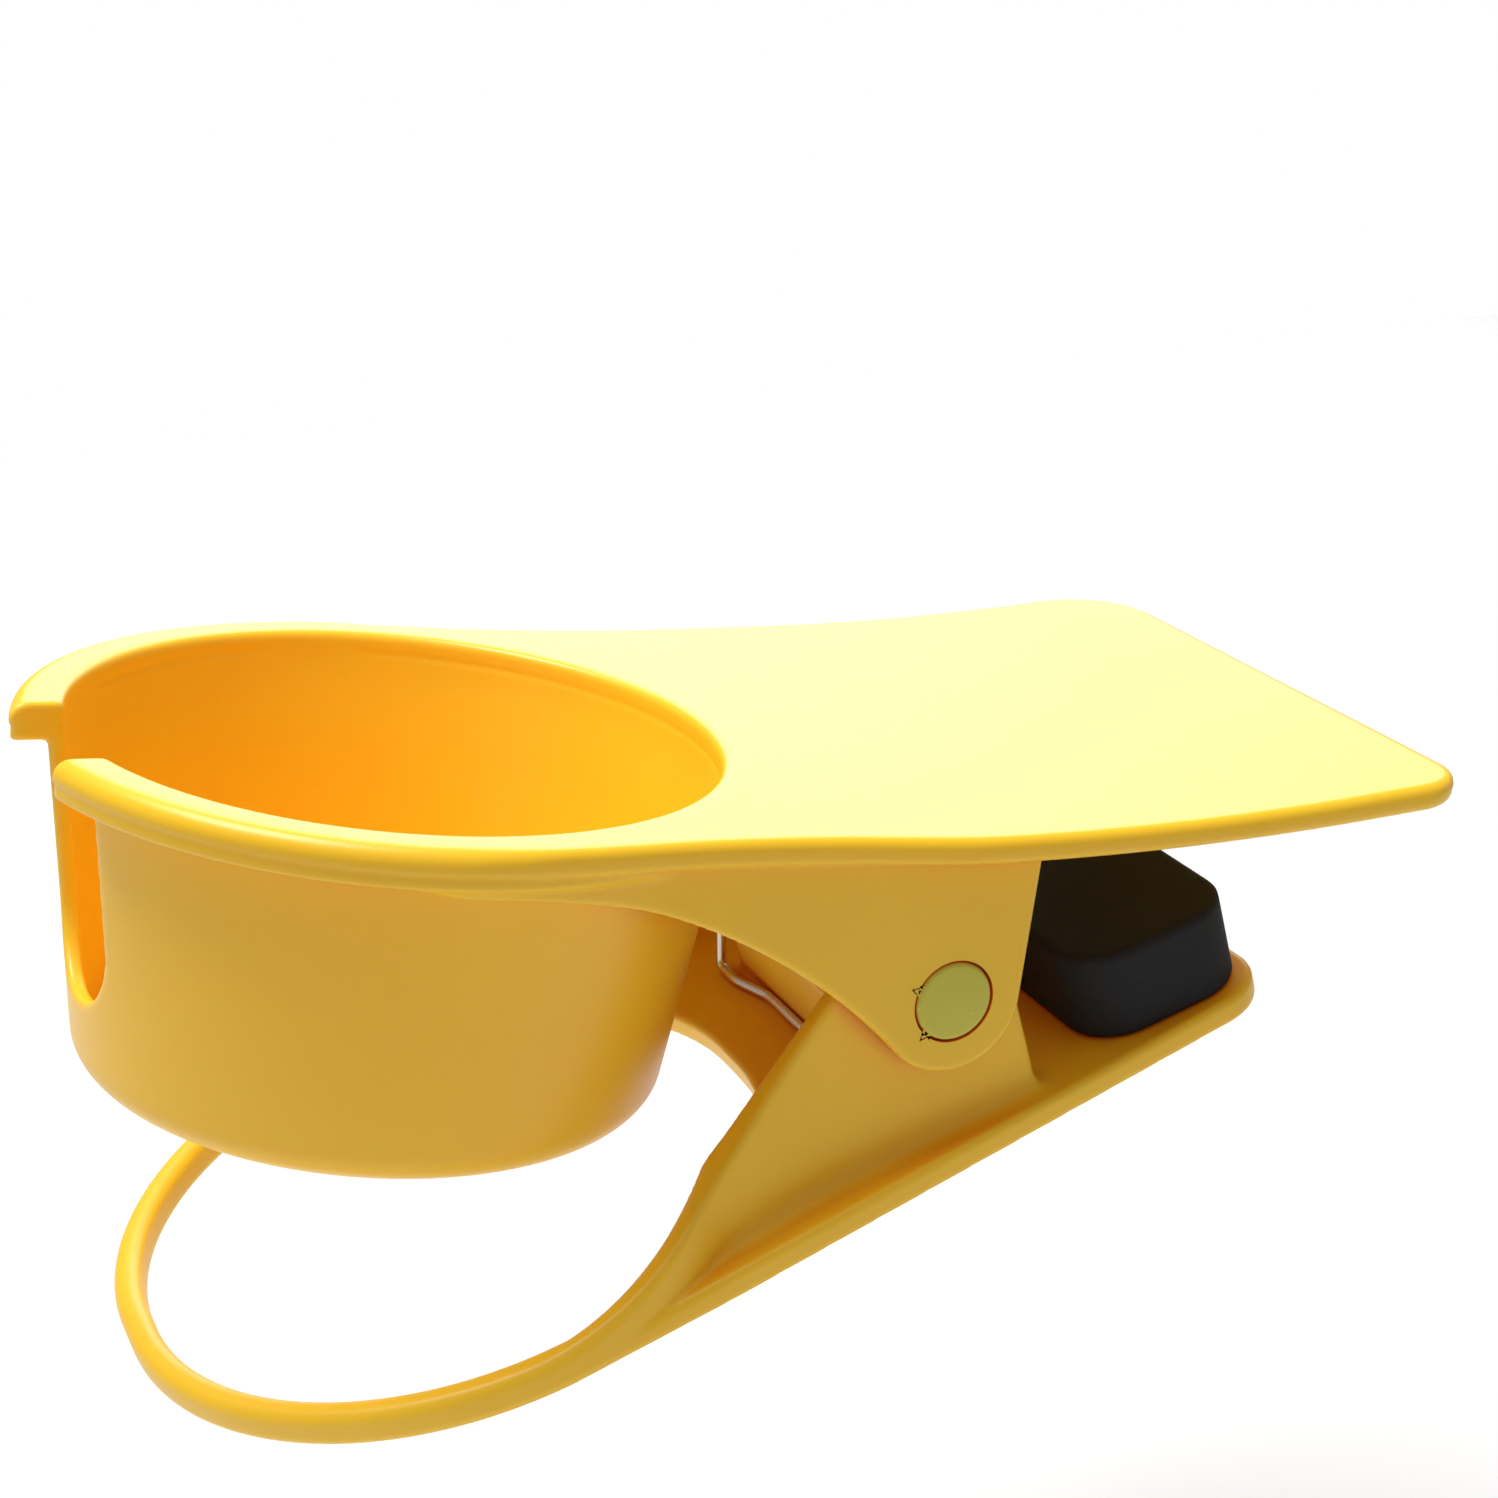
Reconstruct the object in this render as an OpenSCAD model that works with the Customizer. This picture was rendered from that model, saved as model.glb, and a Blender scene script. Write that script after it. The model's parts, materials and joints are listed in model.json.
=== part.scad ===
// Desk clamp cup holder: a mug well that grips a desk edge like a large sprung peg.
// Millimetres. The desk top is the plane Z = 0, its front edge is the line X = 0 and +X runs
// into the desk. The modules below draw in the well's own frame, with its axis upright and
// its rim at Z = 0, and seated() carries them to the desk, where the well leans by seat_tilt.

/* [Mug well] */
// Radius of the mouth that a mug passes through
mouth_r = 42.5; // [38:0.5:43]
// Depth of the well outside, from the top of the rim
well_depth = 48; // [44:1:60]
// Outer radius of the well just under the rim
well_top_r = 44.3; // [44.2:0.1:46]
// Outer radius of the well at its base
well_base_r = 38.9; // [36:0.1:41]
// Thickness of the well's wall and floor
wall_t = 2.2; // [1.8:0.1:2.6]
// Outer radius of the rim
rim_r = 49.2; // [48:0.1:52]
// Height of the rim
rim_h = 5.1; // [4.6:0.1:6]
// Width of the handle slot
slot_w = 21.4; // [14:0.2:26]
// Depth of the handle slot, from the top of the rim
slot_depth = 35.7; // [28:0.1:38]
// How far the slot is turned from the middle, in degrees
slot_turn = 3.3; // [0:0.1:6]

/* [Clamp plate] */
// Thickness of the plate
plate_t = 3.6; // [3:0.1:4.5]
// Width of the plate from the middle plane to its near edge
plate_near_w = 49; // [47:0.1:49.2]
// Width of the plate from the middle plane to its far edge
plate_far_w = 47.6; // [47:0.1:49.2]
// Distance from the well's axis to the plate's free end
plate_reach = 136.4; // [128:0.2:145]
// Radius of the near corner of the free end
near_corner_r = 7.5; // [5:0.5:16]
// Radius of the far corner of the free end
far_corner_r = 13; // [5:0.5:16]
// Depth of the shallow waist behind the rim, on each side
waist_depth = 2; // [0.5:0.5:3]
// Upward bend of the plate, which is also the well's lean, in degrees
seat_tilt = 8; // [6:0.5:9]
// Length of the bend
bend_len = 72; // [60:1:76]

/* [Ears] */
// Distance from the well's axis to the ears' front edge
ear_front = 72.8; // [72:0.1:74]
// Outer face of each ear, from the middle plane
ear_outer = 44.5; // [44:0.1:45]
// Thickness of each ear
ear_t = 3.5; // [3:0.1:3.5]
// Distance from the well's axis to the pivot
pivot_x = 62.8; // [62:0.1:63.2]
// Depth of the pivot under the rim
pivot_drop = 23.6; // [23:0.1:24.5]
// Radius of the ear's lower end
ear_end_r = 10; // [9:0.1:10]
// Radius of the long curve from the rim to the ear's lower end
ear_sweep_r = 90; // [80:1:100]

/* [Clamp lever] */
// Slope of the lever's plate in the well's frame, in degrees
lever_slope = 23.3; // [22:0.1:24]
// Height of the pivot over the underside of the lever's plate
pivot_height = 24.5; // [24:0.1:25.5]
// Thickness of the lever's plate
web_t = 3.6; // [3:0.1:4]
// Radius inside the ring handle
ring_r = 43.6; // [43:0.1:45]
// Distance from the pivot's foot to the ring's centre
ring_reach = 62.7; // [62:0.1:66]
// Sideways stretch of the ring, each way
ring_stretch = 2.2; // [1.6:0.1:3]
// Width of the ring's bar
ring_bar_w = 4; // [3.5:0.1:5]
// Height of the ring's bar
ring_bar_h = 5.2; // [4.5:0.1:6]
// Distance from the pivot's foot to the jaw's free end
jaw_reach = 48; // [46:0.5:50]
// Half of the jaw's width at its free end
jaw_half_w = 41; // [40.5:0.1:43]
// Outer face of each side wall, from the middle plane
side_outer = 40.4; // [39.8:0.1:40.5]
// Thickness of each side wall
side_t = 3; // [2.5:0.1:3.5]

/* [Jaw pad] */
// Thickness of the pad
pad_t = 13.1; // [11:0.1:13.2]
// Distance from the pivot's foot to the pad's inner edge
pad_start = 20.3; // [18:0.1:24]
// Half of the pad's width
pad_half_w = 39.6; // [36:0.1:40]
// Radius of the pad's corners
pad_corner_r = 8; // [4:0.5:10]

/* [Pin and spring] */
// Radius of the steel pivot rod
rod_r = 2.25; // [2:0.05:2.5]
// Radius of the pin cap's head
cap_head_r = 5.5; // [5:0.1:6]
// Radius of the spring's wire
wire_r = 0.75; // [0.6:0.05:0.9]
// Whole turns in each coil of the spring
coil_turns = 7; // [5:1:8]

/* [Hidden] */
$fn = 96;
yellow = [0.98, 0.80, 0.20];
deep_yellow = [0.93, 0.72, 0.17];
cap_yellow = [0.80, 0.74, 0.24];
steel = [0.75, 0.75, 0.77];
black = [0.06, 0.06, 0.06];
over = 1;           // how far a cutter runs past what it cuts
fit_gap = 0.05;     // radial gap of a running fit
tall = 200;         // longer than any part, for cutters and side profiles

// Plate: a flat part, an arc of bend_r over the top face, and a flat end at seat_tilt
bend_start = 48;
bend_r = bend_len * 180 / (PI * seat_tilt);
bend_end_x = bend_start + (bend_r + plate_t) * sin(seat_tilt);
bend_end_z = bend_r - (bend_r + plate_t) * cos(seat_tilt);
// Place of the desk edge and the desk top in the tilted frame
seat_z = bend_end_z * cos(seat_tilt) - bend_end_x * sin(seat_tilt);
edge_z = (seat_z + ear_front * sin(seat_tilt)) / cos(seat_tilt);
edge_x = ear_front * cos(seat_tilt) + edge_z * sin(seat_tilt);
waist_x = 35;
waist_half_len = 24.4;
waist_r = (waist_half_len * waist_half_len + waist_depth * waist_depth) / (2 * waist_depth);

// Well
base_round_r = 4.5;
lower_band_inset = 0.3;
floor_z = wall_t - well_depth;
well_taper = (well_top_r - well_base_r) / (well_depth - rim_h);
function outer_r(z) = well_top_r + (z + rim_h) * well_taper;
function inner_r(z) = outer_r(z) - wall_t;

// Ears: the long curve meets the end circle without a corner
ear_top_gap = 1.4;
ear_top_z = -rim_h - ear_top_gap;
sweep_rise = ear_sweep_r - pivot_drop - ear_top_z;
sweep_x = pivot_x - sqrt(pow(ear_sweep_r + ear_end_r, 2) - sweep_rise * sweep_rise);
sweep_z = ear_top_z - ear_sweep_r;
meet_share = ear_sweep_r / (ear_sweep_r + ear_end_r);
meet_x = sweep_x + (pivot_x - sweep_x) * meet_share;
meet_z = sweep_z + (-pivot_drop - sweep_z) * meet_share;
ear_inner = ear_outer - ear_t;
ear_tail = 8;
skirt_inset = 1.5;

// Pin caps
seat_gap = 0.2;
cap_recess_r = cap_head_r + seat_gap;
cap_recess = 1.4;
cap_head_t = 1.8;
cap_stem_r = 3.45;
cap_hole_r = 3.5;
rod_half_len = ear_outer - 1;
key_angles = [163, 232];
key_w = 1.1;
key_len = 1.0;

// Lever
ring_outer_r = ring_r + ring_bar_w;
side_front = 10.4;
side_top_r = 10.4;
side_lean = 35.9;
side_tangent_gap = 12.8 - side_top_r;
splay_start = 24;
splay_end = 50;
splay_out = 45.2;
ramp_r = 65;
ring_run_end = 37;
rib_front = -7.1;
rib_t = 2.5;
rib_h = 12;
rib_half_w = 20.4;
jaw_corner_r = 8;

// Spring: seen from the near side, angles from +X, turning clockwise from bar to leg
coil_r = 3.65;
coil_pitch = 2 * wire_r + 0.12;
coil_start_y = 22.5;
bar_y = 21.5;
bar_step_y = 12;
bar_step_half_len = 4;
wire_bend_r = 1.5;
bar_step = 1.9;
bar_local = [rib_front - wire_r - fit_gap, web_t + wire_r + fit_gap - pivot_height];
leg_tip = [-19, pivot_drop - plate_t - wire_r - 0.1];
wire_sides = 8;
turn_steps = 16;
bend_steps = 3;

function turned(p, a) = [p[0] * cos(a) - p[1] * sin(a), p[0] * sin(a) + p[1] * cos(a)];
function arc_points(c, r, a0, a1, n) =
    [for (i = [0:n]) [c[0] + r * cos(a0 + (a1 - a0) * i / n), c[1] + r * sin(a0 + (a1 - a0) * i / n)]];

// ---- frames ----
module seated() {
    translate([-edge_x, 0, -seat_z])
        rotate([0, seat_tilt, 0])
            children();
}

module on_pivot() {
    translate([pivot_x, 0, -pivot_drop])
        rotate([0, -lever_slope, 0])
            children();
}

module on_lever() {
    on_pivot()
        translate([0, 0, -pivot_height])
            children();
}

module both_sides() {
    children();
    mirror([0, 1, 0])
        children();
}

// Extrudes a drawing in X and Z along Y, from y0 to y1
module from_side(y0, y1) {
    translate([0, y1, 0])
        rotate([90, 0, 0])
            linear_extrude(height = y1 - y0)
                children();
}

// ---- holder body ----
module half_outline(w, corner_r) {
    difference() {
        union() {
            square([plate_reach - corner_r, w]);
            square([plate_reach, w - corner_r]);
            translate([plate_reach - corner_r, w - corner_r])
                circle(r = corner_r);
        }
        translate([waist_x, w - waist_depth + waist_r])
            circle(r = waist_r, $fn = 180);
    }
}

module plate_outline() {
    circle(r = rim_r);
    translate([0, -over])
        half_outline(plate_far_w + over, far_corner_r);
    mirror([0, 1])
        half_outline(plate_near_w, near_corner_r);
}

module plate_profile() {
    translate([-rim_r - over, -plate_t])
        square([rim_r + over + bend_start, plate_t]);
    intersection() {
        translate([bend_start, bend_r])
            difference() {
                circle(r = bend_r + plate_t, $fn = 360);
                circle(r = bend_r, $fn = 360);
            }
        polygon([[bend_start, bend_r], [bend_start, -2 * plate_t],
            [bend_start + (bend_r + 3 * plate_t) * sin(seat_tilt),
             bend_r - (bend_r + 3 * plate_t) * cos(seat_tilt)]]);
    }
    translate([bend_end_x, bend_end_z])
        rotate(seat_tilt)
            translate([-over, 0])
                square([plate_reach - bend_start, plate_t]);
}

module plate() {
    intersection() {
        translate([0, 0, -tall / 2])
            linear_extrude(height = tall)
                plate_outline();
        from_side(-tall / 2, tall / 2)
            plate_profile();
    }
}

module well_shell() {
    rotate_extrude()
        polygon(concat(
            [[0, -well_depth]],
            arc_points([outer_r(-well_depth) - base_round_r, base_round_r - well_depth],
                base_round_r, -90, -7, 6),
            [[outer_r(-rim_h), -rim_h], [rim_r - lower_band_inset, -rim_h],
             [rim_r - lower_band_inset, -plate_t], [0, -plate_t]]));
}

module well_hollow() {
    rotate_extrude()
        polygon(concat(
            [[0, floor_z]],
            arc_points([inner_r(floor_z) - base_round_r + wall_t, floor_z + base_round_r - wall_t],
                base_round_r - wall_t, -90, -7, 4),
            [[inner_r(-rim_h), -rim_h], [0, -rim_h]]));
    translate([0, 0, -rim_h - 0.01])
        cylinder(h = rim_h + over, r = mouth_r);
}

module handle_slot() {
    slot_centre = slot_w / 2 - slot_depth;
    rotate([0, 0, slot_turn])
        rotate([0, -90, 0])
            linear_extrude(height = rim_r + over) {
                translate([slot_centre, 0])
                    circle(r = slot_w / 2);
                translate([slot_centre, -slot_w / 2])
                    square([over - slot_centre, slot_w]);
            }
}

module ear_profile() {
    difference() {
        union() {
            polygon([[sweep_x, -plate_t], [ear_front, -plate_t],
                [ear_front, -pivot_drop], [pivot_x, -pivot_drop], [meet_x, meet_z],
                [sweep_x, ear_top_z]]);
            polygon([[sweep_x - ear_tail, -plate_t], [sweep_x + over, -plate_t],
                [sweep_x + over, ear_top_z], [sweep_x - ear_tail, -rim_h]]);
            translate([pivot_x, -pivot_drop])
                circle(r = ear_end_r);
        }
        translate([sweep_x, sweep_z])
            circle(r = ear_sweep_r + 0.02, $fn = 240);
    }
}

module ear_plan() {
    difference() {
        union() {
            circle(r = rim_r - skirt_inset);
            translate([0, -ear_outer])
                square([ear_front + over, 2 * ear_outer]);
        }
        translate([-rim_r, -ear_inner])
            square([tall, 2 * ear_inner]);
    }
}

module ears() {
    intersection() {
        translate([0, 0, -tall / 2])
            linear_extrude(height = tall)
                ear_plan();
        from_side(-rim_r, rim_r)
            ear_profile();
    }
}

// The keyed seat of one pin cap, cut into the near ear
module cap_seat() {
    translate([pivot_x, 0, -pivot_drop])
        rotate([90, 0, 0]) {
            translate([0, 0, ear_inner - over])
                cylinder(h = ear_t + 2 * over, r = cap_hole_r);
            translate([0, 0, ear_outer - cap_recess])
                cylinder(h = cap_recess + over, r = cap_recess_r);
            for (a = key_angles)
                rotate([0, 0, a])
                    translate([cap_recess_r - over, -key_w / 2 - seat_gap, ear_outer - cap_recess])
                        cube([key_len + over, key_w + 2 * seat_gap, cap_recess + over]);
        }
}

module holder_body() {
    color(yellow)
        seated()
            difference() {
                union() {
                    plate();
                    well_shell();
                    ears();
                }
                well_hollow();
                handle_slot();
                both_sides()
                    cap_seat();
            }
}

// ---- pivot ----
// The cap of the near ear with side 1, and of the far ear with side -1
module pin_cap(side) {
    translate([pivot_x, 0, -pivot_drop])
        rotate([side * 90, 0, 0])
            difference() {
                union() {
                    translate([0, 0, ear_inner])
                        cylinder(h = ear_t - cap_recess + 0.2, r = cap_stem_r);
                    translate([0, 0, ear_outer - cap_recess + fit_gap])
                        cylinder(h = cap_head_t - fit_gap, r = cap_head_r);
                    for (a = key_angles)
                        rotate([0, 0, side * a])
                            translate([cap_head_r - over, -key_w / 2, ear_outer - cap_recess + fit_gap])
                                cube([key_len + over, key_w, cap_recess - fit_gap]);
                }
                translate([0, 0, ear_inner - over])
                    cylinder(h = rod_half_len + 0.1 - ear_inner + over, r = rod_r + 0.02);
            }
}

module pin_cap_near() {
    color(cap_yellow)
        seated()
            pin_cap(1);
}

module pin_cap_far() {
    color(cap_yellow)
        seated()
            pin_cap(-1);
}

module pivot_rod() {
    color(steel)
        seated()
            translate([pivot_x, 0, -pivot_drop])
                rotate([90, 0, 0])
                    cylinder(h = 2 * rod_half_len, r = rod_r, center = true);
}

// ---- clamp lever ----
module ring_outline(r) {
    for (side = [-1, 1])
        translate([-ring_reach, side * ring_stretch])
            circle(r = r);
    translate([-ring_reach - r, -ring_stretch])
        square([2 * r, 2 * ring_stretch]);
}

// Straight sides from the widest part of the ring to the jaw's rounded end
module jaw_outline() {
    ring_half_w = ring_outer_r + ring_stretch;
    narrowing = (ring_half_w - jaw_half_w) / (ring_reach + jaw_reach);
    side_len = sqrt(1 + narrowing * narrowing);
    corner_x = jaw_reach - jaw_corner_r;
    corner_y = ring_half_w - narrowing * (corner_x + ring_reach) - jaw_corner_r * side_len;
    tangent = [corner_x + jaw_corner_r * narrowing / side_len, corner_y + jaw_corner_r / side_len];
    polygon([[-ring_reach, -ring_half_w], [tangent[0], -tangent[1]], [corner_x, -corner_y],
        [jaw_reach, -corner_y], [jaw_reach, corner_y], [corner_x, corner_y], tangent,
        [-ring_reach, ring_half_w]]);
    for (side = [-1, 1])
        translate([corner_x, side * corner_y])
            circle(r = jaw_corner_r);
}

module side_plan() {
    polygon([[side_front + over, side_outer - side_t], [side_front + over, side_outer],
        [-splay_start, side_outer], [-splay_end, splay_out],
        [-ring_reach, splay_out + 2], [-ring_reach, side_outer - side_t]]);
}

// The front of the ring rises with the side walls
module ring_run() {
    intersection() {
        ring_outline(ring_outer_r);
        translate([-tall, -tall / 2])
            square([tall - ring_run_end, tall]);
    }
}

module side_profile() {
    top = [-side_tangent_gap * sin(side_lean), pivot_height + side_tangent_gap * cos(side_lean)];
    shoulder = top + side_top_r * [-sin(side_lean), cos(side_lean)];
    foot_x = shoulder[0] - (shoulder[1] - ring_bar_h) / tan(side_lean);
    ramp_len = ramp_r * tan(side_lean / 2);
    ramp = arc_points([foot_x - ramp_len, ring_bar_h + ramp_r], ramp_r, side_lean - 90, -90, 10);
    polygon(concat([[side_front, 0], [side_front, pivot_height], [0, pivot_height], top, shoulder],
        ramp, [[foot_x - ramp_len, 0]]));
    translate([0, pivot_height])
        circle(r = side_top_r);
    translate(top)
        circle(r = side_top_r);
}

module lever_sides() {
    intersection() {
        linear_extrude(height = 3 * pivot_height)
            union() {
                side_plan();
                mirror([0, 1])
                    side_plan();
                ring_run();
            }
        from_side(-tall / 2, tall / 2)
            side_profile();
    }
}

module clamp_lever() {
    color(deep_yellow)
        seated()
            on_lever()
                difference() {
                    union() {
                        linear_extrude(height = web_t) {
                            ring_outline(ring_outer_r);
                            jaw_outline();
                        }
                        intersection() {
                            linear_extrude(height = ring_bar_h)
                                ring_outline(ring_outer_r);
                            translate([-tall, -tall / 2, 0])
                                cube([tall - splay_end, tall, ring_bar_h]);
                        }
                        lever_sides();
                        translate([rib_front, -rib_half_w, web_t - over])
                            cube([rib_t, 2 * rib_half_w, rib_h + over]);
                    }
                    translate([0, 0, -over])
                        linear_extrude(height = 3 * pivot_height)
                            ring_outline(ring_r);
                    translate([0, 0, pivot_height])
                        rotate([90, 0, 0])
                            cylinder(h = tall, r = rod_r + fit_gap, center = true);
                }
}

// ---- jaw pad ----
module jaw_pad() {
    pad_end = jaw_reach - 2;
    length = pad_end - pad_start;
    color(black)
        seated()
            on_lever()
                translate([pad_start, 0, web_t])
                    linear_extrude(height = pad_t) {
                        for (x = [pad_corner_r, length - pad_corner_r], side = [-1, 1])
                            translate([x, side * (pad_half_w - pad_corner_r)])
                                circle(r = pad_corner_r);
                        translate([0, pad_corner_r - pad_half_w])
                            square([length, 2 * (pad_half_w - pad_corner_r)]);
                        translate([pad_corner_r, -pad_half_w])
                            square([length - 2 * pad_corner_r, 2 * pad_half_w]);
                    }
}

// ---- torsion spring ----
// The wire's centre line is drawn about the pivot in the well's frame. Each side runs from the
// crossbar up to a coil round the rod, along the rod, and out to a leg under the plate.
function unit(v) = v / norm(v);
bar = turned(bar_local, lever_slope);
bar_back = turned(bar_local - [bar_step, 0], lever_slope);
bar_angle = atan2(bar_back[1], bar_back[0]) - acos(coil_r / norm(bar_back)) + 360;
leg_angle = atan2(leg_tip[1], leg_tip[0]) + acos(coil_r / norm(leg_tip));
coil_sweep = 360 * coil_turns + bar_angle - leg_angle;
coil_steps = coil_turns * turn_steps;

function coil_side(side) = [for (i = [0:coil_steps])
    let (a = bar_angle - coil_sweep * i / coil_steps)
    [coil_r * cos(a), side * (coil_start_y + coil_pitch * coil_sweep / 360 * i / coil_steps),
     coil_r * sin(a)]];
function leg_end(side) =
    [leg_tip[0], side * (coil_start_y + coil_pitch * coil_sweep / 360), leg_tip[1]];

// A corner of a bent wire, as a short parabola between two points near it
function corner(before, at, after, r) = [for (i = [0:bend_steps])
    let (t = i / bend_steps, p = at + r * unit(before - at), q = at + r * unit(after - at))
    (1 - t) * (1 - t) * p + 2 * t * (1 - t) * at + t * t * q];

function half_bar(side) = [
    [bar_back[0], side * bar_y, bar_back[1]],
    [bar_back[0], side * (bar_step_y + bar_step_half_len), bar_back[1]],
    [bar[0], side * (bar_step_y - bar_step_half_len), bar[1]]];

function half_wire(side) = let (b = half_bar(side), coil = coil_side(side)) concat(
    [[bar[0], side, bar[1]]],
    corner([bar[0], 0, bar[1]], b[2], b[1], wire_bend_r),
    corner(b[2], b[1], b[0], wire_bend_r),
    corner(b[1], b[0], coil[0], wire_bend_r),
    coil,
    [leg_end(side)]);

function reversed(list) = [for (i = [len(list) - 1:-1:0]) list[i]];
wire_path = concat(reversed(half_wire(-1)), half_wire(1));

function heading(path, i) =
    unit(path[min(i + 1, len(path) - 1)] - path[max(i - 1, 0)]);
function squared(n, t) = unit(n - (n * t) * t);
function side_vectors(path) = [for (i = 0, n = squared([0, 1, 0.2], heading(path, 0));
    i < len(path);
    i = i + 1, n = squared(n, heading(path, min(i, len(path) - 1)))) n];

module swept_wire(path, r, sides) {
    normals = side_vectors(path);
    count = len(path);
    points = [for (i = [0:count - 1], k = [0:sides - 1])
        let (t = heading(path, i), u = normals[i], v = cross(t, u), a = 360 * k / sides)
        path[i] + r * (cos(a) * u + sin(a) * v)];
    walls = [for (i = [0:count - 2], k = [0:sides - 1])
        let (j = (k + 1) % sides)
        [i * sides + k, (i + 1) * sides + k, (i + 1) * sides + j, i * sides + j]];
    start = [for (k = [0:sides - 1]) k];
    finish = [for (k = [sides - 1:-1:0]) (count - 1) * sides + k];
    polyhedron(points = points, faces = concat([start], walls, [finish]));
}

module torsion_spring() {
    color(steel)
        seated()
            translate([pivot_x, 0, -pivot_drop])
                swept_wire(wire_path, wire_r, wire_sides);
}

holder_body();
clamp_lever();
pivot_rod();
pin_cap_near();
pin_cap_far();
torsion_spring();
jaw_pad();
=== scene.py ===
import json
import math

import bmesh
import bpy
import numpy as np
from mathutils import Matrix, Vector


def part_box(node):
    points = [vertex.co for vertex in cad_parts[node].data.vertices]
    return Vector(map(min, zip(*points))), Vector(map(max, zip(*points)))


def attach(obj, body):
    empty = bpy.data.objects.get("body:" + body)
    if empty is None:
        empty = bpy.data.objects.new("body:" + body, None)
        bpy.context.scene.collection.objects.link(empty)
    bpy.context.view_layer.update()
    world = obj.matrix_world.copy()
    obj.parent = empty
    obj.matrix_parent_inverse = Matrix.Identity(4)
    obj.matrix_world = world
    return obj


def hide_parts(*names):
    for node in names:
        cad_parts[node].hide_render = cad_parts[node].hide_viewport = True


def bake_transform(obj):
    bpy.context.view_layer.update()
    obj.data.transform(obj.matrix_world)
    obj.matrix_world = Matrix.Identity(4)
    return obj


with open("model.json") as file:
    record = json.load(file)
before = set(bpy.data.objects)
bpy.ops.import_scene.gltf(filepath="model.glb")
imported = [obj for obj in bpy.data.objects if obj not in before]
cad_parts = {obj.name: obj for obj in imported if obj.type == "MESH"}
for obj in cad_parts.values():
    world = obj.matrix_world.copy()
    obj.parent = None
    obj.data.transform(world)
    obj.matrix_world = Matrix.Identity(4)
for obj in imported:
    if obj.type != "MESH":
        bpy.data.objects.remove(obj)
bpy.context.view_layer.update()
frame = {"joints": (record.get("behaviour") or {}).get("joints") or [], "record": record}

MM = 0.001
RECORD = frame["record"]
MOUNTS = {m["name"]: m for m in RECORD["mounts"]}
HINGE = np.array(frame["joints"][0]["pos_m"]) / MM

# ---- sizes, in millimetres ----
RIM_R = 49.2
RIM_H = 5.1
BAND_INSET = 0.3
MOUTH_R = 42.5
WELL_DEPTH = 48.0
WELL_TOP_R = 44.3
WELL_BASE_R = 38.9
WALL_T = 2.2
BASE_ROUND = 4.5
SLOT_W = 21.4
SLOT_DEPTH = 35.7
SLOT_TURN = math.radians(3.3)

PLATE_T = 3.6
PLATE_NEAR_W = 49.0
PLATE_FAR_W = 47.6
NEAR_CORNER = 7.5
FAR_CORNER = 13.0
PLATE_REACH = 136.4
WAIST_X = 35.0
WAIST_DEPTH = 2.0
WAIST_HALF_LEN = 24.4
BEND_START = 48.0
BEND_LEN = 72.0
BEND_R = BEND_LEN / math.radians(8.0)

PIVOT_X = 62.8
PIVOT_DROP = 23.6
EAR_FRONT = 72.8
EAR_OUTER = 44.5
EAR_T = 3.5
EAR_END_R = 10.0
EAR_SWEEP_R = 90.0
EAR_TOP_GAP = 1.4
EAR_TAIL = 8.0
SKIRT_R = RIM_R - 1.5
PLATE_EDGE_R = 1.5
RIM_EDGE_R = 2.2
PLATE_LOWER_R = 1.2
INNER_FLARE = 0.012
FLARE_START = -14.0

LEVER_SLOPE = math.radians(23.3)
PIVOT_H = 24.5
WEB_T = 3.6
RING_R = 43.6
RING_X = -62.7
RING_STRETCH = 2.2
BAR_W = 4.0
BAR_H = 5.2
RAMP_BLEND = 12.6
JAW_X = 48.0
JAW_HALF_W = 41.0
JAW_CORNER = 8.0
SIDE_OUTER = 40.4
SIDE_T = 3.0
SIDE_FRONT = 10.4
SIDE_TOP_R = 10.4
SIDE_LEAN = math.radians(35.9)
SIDE_TOP_GAP = 2.4
SPLAY_X = -24.0
SPLAY = 0.1846
SPLAY_END = -50.0
RAMP_END = -76.0
RIB_X = -5.85
RIB_HALF_T = 1.25
RIB_HALF_W = 20.4
RIB_H = 12.0

PAD_START = 20.3
PAD_END = 46.0
PAD_HALF_W = 39.6
PAD_T = 13.1
PAD_CORNER = 8.0

ROD_R = 2.25
ROD_HALF = 43.5
CAP_R = 5.5
CAP_FACE = 44.9
CAP_SEAT_DEPTH = 1.4
STEM_R = 3.45
KEY_ANGLES = (163.0, 232.0)
KEY_W = 1.1
KEY_LEN = 1.0
SEAT_GAP = 0.2

WIRE_R = 0.75
COIL_R = 3.65
COIL_TURNS = 7
COIL_START_Y = 22.5
COIL_GAP = 0.12
WIRE_GAP = 0.05
WIRE_BEND = 1.5
LEG_X = -19.0


# ---- frames ----
def frame_from(origin, along, up):
    """A matrix from a frame in millimetres to the row frame in metres."""
    along, up = Vector(along).normalized(), Vector(up).normalized()
    side = up.cross(along)
    rows = Matrix((along, side, up)).transposed().to_4x4()
    return Matrix.Translation(Vector(origin) * MM) @ rows @ Matrix.Scale(MM, 4)


well_up = np.array(MOUNTS["mug_mouth"]["axis"])
well_along = np.array([well_up[2], 0.0, -well_up[0]])
well_origin = HINGE - PIVOT_X * well_along + PIVOT_DROP * well_up
WELL = frame_from(well_origin, well_along, well_up)
lever_along = math.cos(LEVER_SLOPE) * well_along + math.sin(LEVER_SLOPE) * well_up
lever_up = math.cos(LEVER_SLOPE) * well_up - math.sin(LEVER_SLOPE) * well_along
LEVER = frame_from(HINGE - PIVOT_H * lever_up, lever_along, lever_up)
PIVOT = frame_from(HINGE, well_along, well_up)


# ---- distance fields ----
def smooth_min(a, b, k):
    h = np.maximum(k - np.abs(a - b), 0.0) / k
    return np.minimum(a, b) - h * h * k * 0.25


def smooth_max(a, b, k):
    return -smooth_min(-a, -b, k)


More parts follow.
